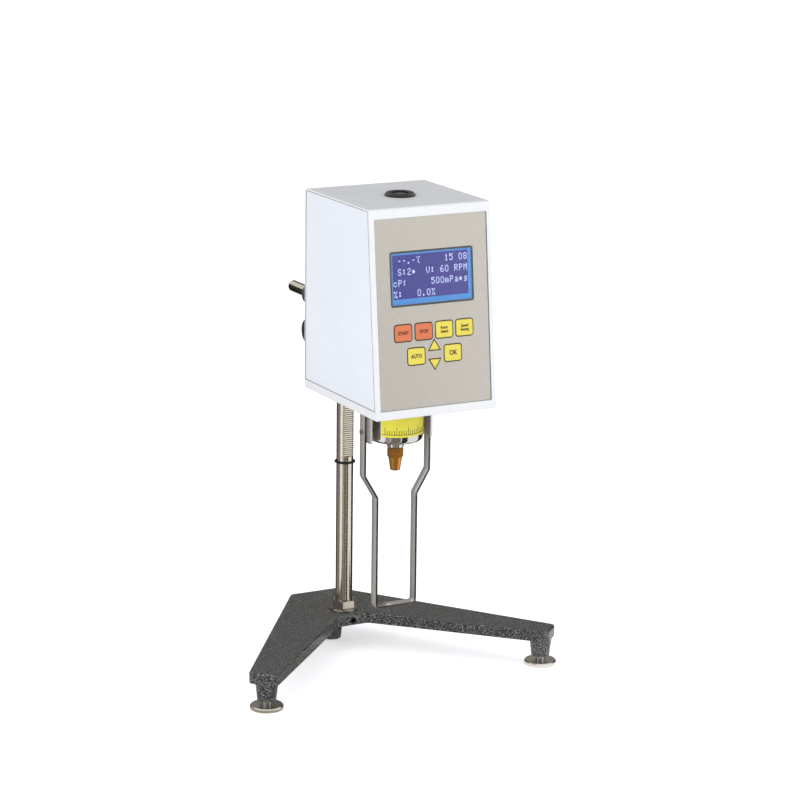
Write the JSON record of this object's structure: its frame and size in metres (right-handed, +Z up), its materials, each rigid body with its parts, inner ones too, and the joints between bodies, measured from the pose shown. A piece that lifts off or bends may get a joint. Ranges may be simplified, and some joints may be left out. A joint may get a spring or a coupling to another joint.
{
  "type": "rotational viscometer",
  "caption": "Rotational viscometer: a boxy measuring head with a display and keys on a rack column, above a V-shaped levelling base, with a spindle connector inside a wire guard.",
  "frame": {"origin": "middle of the footprint, on the bench", "axes": "+Z up, -Y to the front, where the display and keys are, +X to the operator's right"},
  "size_m": [0.2942, 0.2268, 0.425],
  "materials": {
    "cast_paint": "black hammertone paint with grey specks",
    "bright_steel": "ground and polished",
    "nickel": "bright nickel plate",
    "zinc": "bright zinc plate",
    "black_rubber": "smooth",
    "clamp_paint": "dark grey satin paint",
    "dark_knob": "dark grey moulded",
    "cover_paint": "fine white texture",
    "side_paint": "pale cool grey, fine texture",
    "plate_paint": "fine white texture",
    "panel_film": "printed film",
    "display_glass": "clear window",
    "display_parts": "circuit board and frame",
    "board": "solder mask",
    "key_orange": "moulded",
    "key_yellow": "moulded",
    "black_plastic": "moulded",
    "vial_glass": "clear, tinted fluid",
    "post_metal": "turned",
    "polished_steel": "polished",
    "band_film": "printed film",
    "guard_steel": "rolled strap",
    "brass": "turned",
    "bronze": "sintered",
    "spring_steel": "tempered strip",
    "motor_steel": "drawn can"
  },
  "bodies": {
    "stand": {"base_casting": "cast_paint", "column": "bright_steel", "column_washer": "nickel", "column_nut": "nickel", "stop_ring": "black_rubber", "column_set_screw": "zinc"},
    "left_stud": {"left_foot_stud": "zinc"},
    "left_disc": {"left_foot_disc": "zinc"},
    "right_stud": {"right_foot_stud": "zinc"},
    "right_disc": {"right_foot_disc": "zinc"},
    "clamp": {"clamp_block": "clamp_paint", "tension_screw": "zinc"},
    "lift_gear": {"lift_pinion": "bright_steel", "lift_knob": "dark_knob"},
    "handle_clamp": {"handle_screw": "dark_knob"},
    "head": {"handle_rod": "bright_steel", "rod_nut": "zinc", "bottom_plate": "plate_paint", "cover": "cover_paint", "left_side_panel": "side_paint", "right_side_panel": "side_paint", "cover_screws": "zinc", "front_panel": "panel_film", "display_lens": "display_glass", "display_module": "display_parts", "key_board": "board", "bubble_bezel": "black_plastic", "bubble_vial": "vial_glass", "frame_posts": "post_metal", "motor_plate": "post_metal", "motor": "motor_steel", "main_board": "board", "power_supply": "motor_steel", "power_inlet": "black_plastic", "switch_body": "black_plastic", "bearing_cup": "polished_steel", "cup_band": "band_film", "shaft_bearings": "bronze", "sensor_board": "board", "guard_arms": "guard_steel", "guard": "guard_steel", "guard_screws": "nickel"},
    "motor_drive": {"motor_pinion": "brass"},
    "drive": {"drive_shaft": "bright_steel", "drive_gear": "brass", "drive_disc": "post_metal", "hairspring": "spring_steel"},
    "spindle": {"pivot_shaft": "bright_steel", "torque_disc": "post_metal", "spindle_connector": "brass"},
    "power_rocker": {"rocker": "black_plastic"},
    "start_key": {"key_start": "key_orange"},
    "stop_key": {"key_stop": "key_orange"},
    "rotor_key": {"key_rotor": "key_yellow"},
    "speed_key": {"key_speed": "key_yellow"},
    "auto_key": {"key_auto": "key_yellow"},
    "enter_key": {"key_enter": "key_yellow"},
    "up_key": {"key_up": "key_yellow"},
    "down_key": {"key_down": "key_yellow"}
  },
  "joints": [
    {"name": "lift_slide", "type": "slide", "parent": "stand", "child": "clamp", "axis": [0, 0, 1], "range_m": [-0.06, 0.055]},
    {"name": "lift_knob_turn", "type": "hinge", "parent": "clamp", "child": "lift_gear", "pos_m": [0, 0.04256, 0.293], "axis": [1, 0, 0], "range_deg": [-590, 640]},
    {"name": "head_roll", "type": "hinge", "parent": "clamp", "child": "head", "pos_m": [-0.026, 0.05395, 0.32], "axis": [0, 1, 0], "range_deg": [-12, 12]},
    {"name": "handle_screw_turn", "type": "hinge", "parent": "clamp", "child": "handle_clamp", "pos_m": [-0.026, 0.05095, 0.335], "axis": [0, 0, 1], "range_deg": [0, 180]},
    {"name": "left_stud_rise", "type": "slide", "parent": "stand", "child": "left_stud", "axis": [0, 0, 1], "range_m": [-0.003, 0.003]},
    {"name": "left_disc_turn", "type": "hinge", "parent": "left_stud", "child": "left_disc", "pos_m": [-0.1325, -0.06705, 0], "axis": [0, 0, 1], "range_deg": [-865, 865]},
    {"name": "right_stud_rise", "type": "slide", "parent": "stand", "child": "right_stud", "axis": [0, 0, 1], "range_m": [-0.003, 0.003]},
    {"name": "right_disc_turn", "type": "hinge", "parent": "right_stud", "child": "right_disc", "pos_m": [0.1325, -0.06705, 0], "axis": [0, 0, 1], "range_deg": [-865, 865]},
    {"name": "drive_spin", "type": "hinge", "parent": "head", "child": "drive", "pos_m": [0, -0.04105, 0.3], "axis": [0, 0, 1], "continuous": true},
    {"name": "motor_spin", "type": "hinge", "parent": "head", "child": "motor_drive", "pos_m": [0, -0.01855, 0.31], "axis": [0, 0, 1], "continuous": true},
    {"name": "spindle_twist", "type": "hinge", "parent": "drive", "child": "spindle", "pos_m": [0, -0.04105, 0.2], "axis": [0, 0, 1], "range_deg": [0, 80], "stiffness_Nm_per_rad": 0.00005},
    {"name": "rocker_tilt", "type": "hinge", "parent": "head", "child": "power_rocker", "pos_m": [0.03, 0.01675, 0.304], "axis": [1, 0, 0], "range_deg": [0, 16]},
    {"name": "start_key_press", "type": "slide", "parent": "head", "child": "start_key", "axis": [0, 0.9952, -0.0984], "range_m": [0, 0.0005], "stiffness_N_per_m": 1500},
    {"name": "stop_key_press", "type": "slide", "parent": "head", "child": "stop_key", "axis": [0, 0.9952, -0.0984], "range_m": [0, 0.0005], "stiffness_N_per_m": 1500},
    {"name": "rotor_key_press", "type": "slide", "parent": "head", "child": "rotor_key", "axis": [0, 0.9952, -0.0984], "range_m": [0, 0.0005], "stiffness_N_per_m": 1500},
    {"name": "speed_key_press", "type": "slide", "parent": "head", "child": "speed_key", "axis": [0, 0.9952, -0.0984], "range_m": [0, 0.0005], "stiffness_N_per_m": 1500},
    {"name": "auto_key_press", "type": "slide", "parent": "head", "child": "auto_key", "axis": [0, 0.9952, -0.0984], "range_m": [0, 0.0005], "stiffness_N_per_m": 1500},
    {"name": "enter_key_press", "type": "slide", "parent": "head", "child": "enter_key", "axis": [0, 0.9952, -0.0984], "range_m": [0, 0.0005], "stiffness_N_per_m": 1500},
    {"name": "up_key_press", "type": "slide", "parent": "head", "child": "up_key", "axis": [0, 0.9952, -0.0984], "range_m": [0, 0.0005], "stiffness_N_per_m": 1500},
    {"name": "down_key_press", "type": "slide", "parent": "head", "child": "down_key", "axis": [0, 0.9952, -0.0984], "range_m": [0, 0.0005], "stiffness_N_per_m": 1500}
  ],
  "couplings": [
    {"joint": "lift_knob_turn", "follows": "lift_slide", "rad_per_m": -185.19},
    {"joint": "left_disc_turn", "follows": "left_stud_rise", "rad_per_m": 5026.5},
    {"joint": "right_disc_turn", "follows": "right_stud_rise", "rad_per_m": 5026.5},
    {"joint": "motor_spin", "follows": "drive_spin", "ratio": -4}
  ]
}
